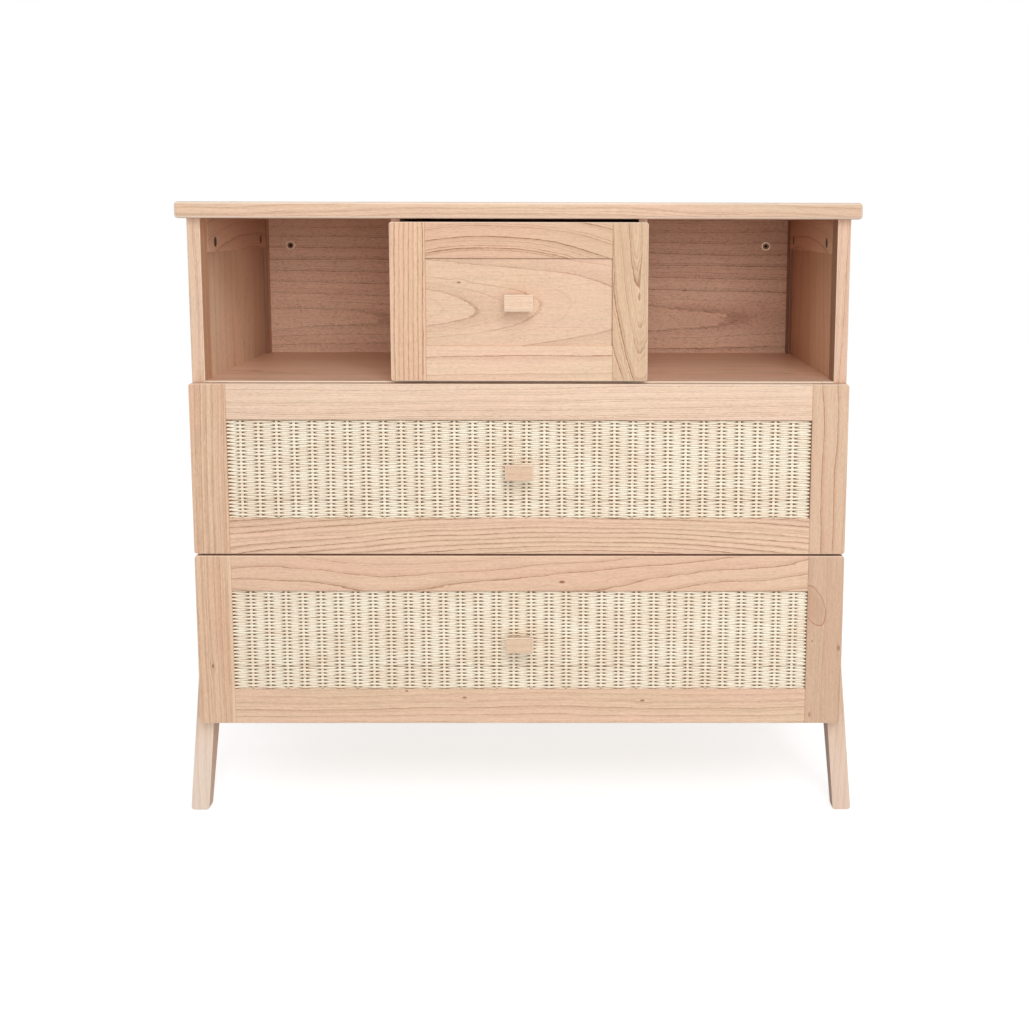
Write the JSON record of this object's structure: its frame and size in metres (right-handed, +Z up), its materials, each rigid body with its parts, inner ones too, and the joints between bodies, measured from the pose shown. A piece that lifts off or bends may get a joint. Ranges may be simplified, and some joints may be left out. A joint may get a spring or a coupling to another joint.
{
  "type": "chest of drawers",
  "caption": "Free-standing wooden chest on splayed legs, with a small centre drawer between open compartments above wide framed drawers faced in woven rattan.",
  "frame": {"origin": "on the floor, under the middle of the chest's box, knobs included", "axes": "+X to the right of someone facing the drawers, +Y from the front to the back, +Z up"},
  "size_m": [0.983, 0.459, 0.898],
  "materials": {
    "front_wood": "clear matt oil on pale open-pored timber",
    "carcass_wood": "clear matt oil",
    "box_wood": "sanded softwood",
    "plywood": "veneered plywood",
    "rattan": "natural woven rattan, unvarnished",
    "slide_steel": "bright zinc-plated sheet steel",
    "screw_steel": "zinc plated",
    "bolt_steel": "nickel plated",
    "zinc": "die-cast zinc"
  },
  "bodies": {
    "carcass": {"table_top": "front_wood", "right_front_leg": "front_wood", "left_front_leg": "front_wood", "right_back_leg": "front_wood", "left_back_leg": "front_wood", "right_side_top_rail": "carcass_wood", "left_side_top_rail": "carcass_wood", "side_bottom_rails": "carcass_wood", "right_side_panel": "carcass_wood", "left_side_panel": "carcass_wood", "display_shelf": "carcass_wood", "right_divider": "carcass_wood", "left_divider": "carcass_wood", "upper_back_panel": "carcass_wood", "lower_back_panel": "plywood", "front_rails": "carcass_wood", "back_rails": "carcass_wood", "slide_battens": "carcass_wood", "cam_locks": "zinc", "cam_pins": "zinc", "wall_fixing_bolts": "bolt_steel", "slide_fixed_members": "slide_steel"},
    "top_drawer": {"top_drawer_left_stile": "front_wood", "top_drawer_right_stile": "front_wood", "top_drawer_top_rail": "front_wood", "top_drawer_bottom_rail": "front_wood", "top_drawer_panel": "front_wood", "top_drawer_box_sides": "box_wood", "top_drawer_box_ends": "box_wood", "top_drawer_box_floor": "plywood", "top_drawer_slide_inner_members": "slide_steel", "top_drawer_knob": "front_wood", "top_drawer_screws": "screw_steel"},
    "top_slide": {"top_drawer_slide_middle_members": "slide_steel"},
    "middle_drawer": {"middle_drawer_left_stile": "front_wood", "middle_drawer_right_stile": "front_wood", "middle_drawer_top_rail": "front_wood", "middle_drawer_bottom_rail": "front_wood", "middle_drawer_rattan": "rattan", "middle_drawer_backing": "plywood", "middle_drawer_box_sides": "box_wood", "middle_drawer_box_ends": "box_wood", "middle_drawer_box_floor": "plywood", "middle_drawer_slide_inner_members": "slide_steel", "middle_drawer_knob": "front_wood", "middle_drawer_screws": "screw_steel"},
    "middle_slide": {"middle_drawer_slide_middle_members": "slide_steel"},
    "lower_drawer": {"lower_drawer_left_stile": "front_wood", "lower_drawer_right_stile": "front_wood", "lower_drawer_top_rail": "front_wood", "lower_drawer_bottom_rail": "front_wood", "lower_drawer_rattan": "rattan", "lower_drawer_backing": "plywood", "lower_drawer_box_sides": "box_wood", "lower_drawer_box_ends": "box_wood", "lower_drawer_box_floor": "plywood", "lower_drawer_slide_inner_members": "slide_steel", "lower_drawer_knob": "front_wood", "lower_drawer_screws": "screw_steel"},
    "lower_slide": {"lower_drawer_slide_middle_members": "slide_steel"}
  },
  "joints": [
    {"name": "top_drawer_travel", "type": "slide", "parent": "carcass", "child": "top_drawer", "axis": [0, -1, 0], "range_m": [0, 0.34]},
    {"name": "top_slide_travel", "type": "slide", "parent": "carcass", "child": "top_slide", "axis": [0, -1, 0], "range_m": [0, 0.17]},
    {"name": "middle_drawer_travel", "type": "slide", "parent": "carcass", "child": "middle_drawer", "axis": [0, -1, 0], "range_m": [0, 0.34]},
    {"name": "middle_slide_travel", "type": "slide", "parent": "carcass", "child": "middle_slide", "axis": [0, -1, 0], "range_m": [0, 0.17]},
    {"name": "lower_drawer_travel", "type": "slide", "parent": "carcass", "child": "lower_drawer", "axis": [0, -1, 0], "range_m": [0, 0.34]},
    {"name": "lower_slide_travel", "type": "slide", "parent": "carcass", "child": "lower_slide", "axis": [0, -1, 0], "range_m": [0, 0.17]}
  ],
  "couplings": [
    {"joint": "top_slide_travel", "follows": "top_drawer_travel", "ratio": 0.5},
    {"joint": "middle_slide_travel", "follows": "middle_drawer_travel", "ratio": 0.5},
    {"joint": "lower_slide_travel", "follows": "lower_drawer_travel", "ratio": 0.5}
  ]
}
